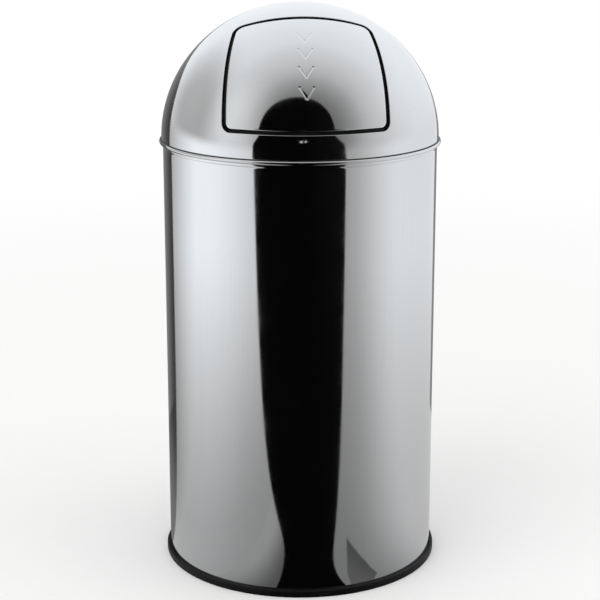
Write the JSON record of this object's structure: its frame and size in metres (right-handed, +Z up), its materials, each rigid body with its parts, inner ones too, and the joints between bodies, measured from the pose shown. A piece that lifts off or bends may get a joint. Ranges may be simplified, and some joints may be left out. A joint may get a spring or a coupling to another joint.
{
  "type": "dome top waste receptacle",
  "caption": "Round polished-steel waste receptacle with a lift-off dome lid, a sprung push flap, a black foot ring and a lift-out metal bucket with a folding bail.",
  "frame": {"origin": "centre of the foot ring's underside, on the floor", "axes": "+Z up, the push flap faces -Y, +X to the right of someone who faces the flap"},
  "size_m": [0.3492, 0.3492, 0.7075],
  "materials": {
    "polished_steel": "polished stainless sheet",
    "galvanised_steel": "galvanised sheet with a faint spangle",
    "plated_steel": "zinc-plated, dull bright",
    "spring_steel": "oiled spring steel",
    "black_plastic": "moulded, fine satin"
  },
  "bodies": {
    "body": {"body_shell": "polished_steel", "base_plate": "galvanised_steel", "base_ring": "black_plastic"},
    "lid": {"dome_shell": "polished_steel", "lid_collar": "galvanised_steel", "hinge_bracket_right": "plated_steel", "hinge_bracket_left": "plated_steel", "hinge_pin": "plated_steel", "pin_clip": "spring_steel", "return_spring_right": "spring_steel", "return_spring_left": "spring_steel"},
    "flap": {"flap_skin": "polished_steel", "flap_backing": "black_plastic", "hinge_arm_right": "plated_steel", "hinge_arm_left": "plated_steel", "arm_screw_lower_right": "plated_steel", "arm_screw_lower_left": "plated_steel", "arm_screw_upper_right": "plated_steel", "arm_screw_upper_left": "plated_steel"},
    "liner": {"liner_bucket": "galvanised_steel", "liner_base": "galvanised_steel", "bail_ear_right": "galvanised_steel", "bail_ear_left": "galvanised_steel", "ear_rivet_upper_right": "plated_steel", "ear_rivet_upper_left": "plated_steel", "ear_rivet_lower_right": "plated_steel", "ear_rivet_lower_left": "plated_steel"},
    "bail": {"bail_wire": "plated_steel"}
  },
  "joints": [
    {"name": "lid_lift", "type": "slide", "parent": "body", "child": "lid", "axis": [0, 0, 1], "range_m": [0, 1.1]},
    {"name": "flap_push", "type": "hinge", "parent": "lid", "child": "flap", "pos_m": [0, -0.03863, 0.68478], "axis": [1, 0, 0], "range_deg": [0, 65], "stiffness_Nm_per_rad": 0.25, "springref_deg": -97.4, "deforming": ["return_spring_right", "return_spring_left"]},
    {"name": "liner_lift", "type": "slide", "parent": "body", "child": "liner", "axis": [0, 0, 1], "range_m": [0, 0.55]},
    {"name": "bail_swing", "type": "hinge", "parent": "liner", "child": "bail", "pos_m": [0, 0, 0.5064], "axis": [1, 0, 0], "range_deg": [0, 180]}
  ],
  "couplings": [
    {"joint": "liner_lift", "follows": "lid_lift", "ratio": 0.5}
  ]
}
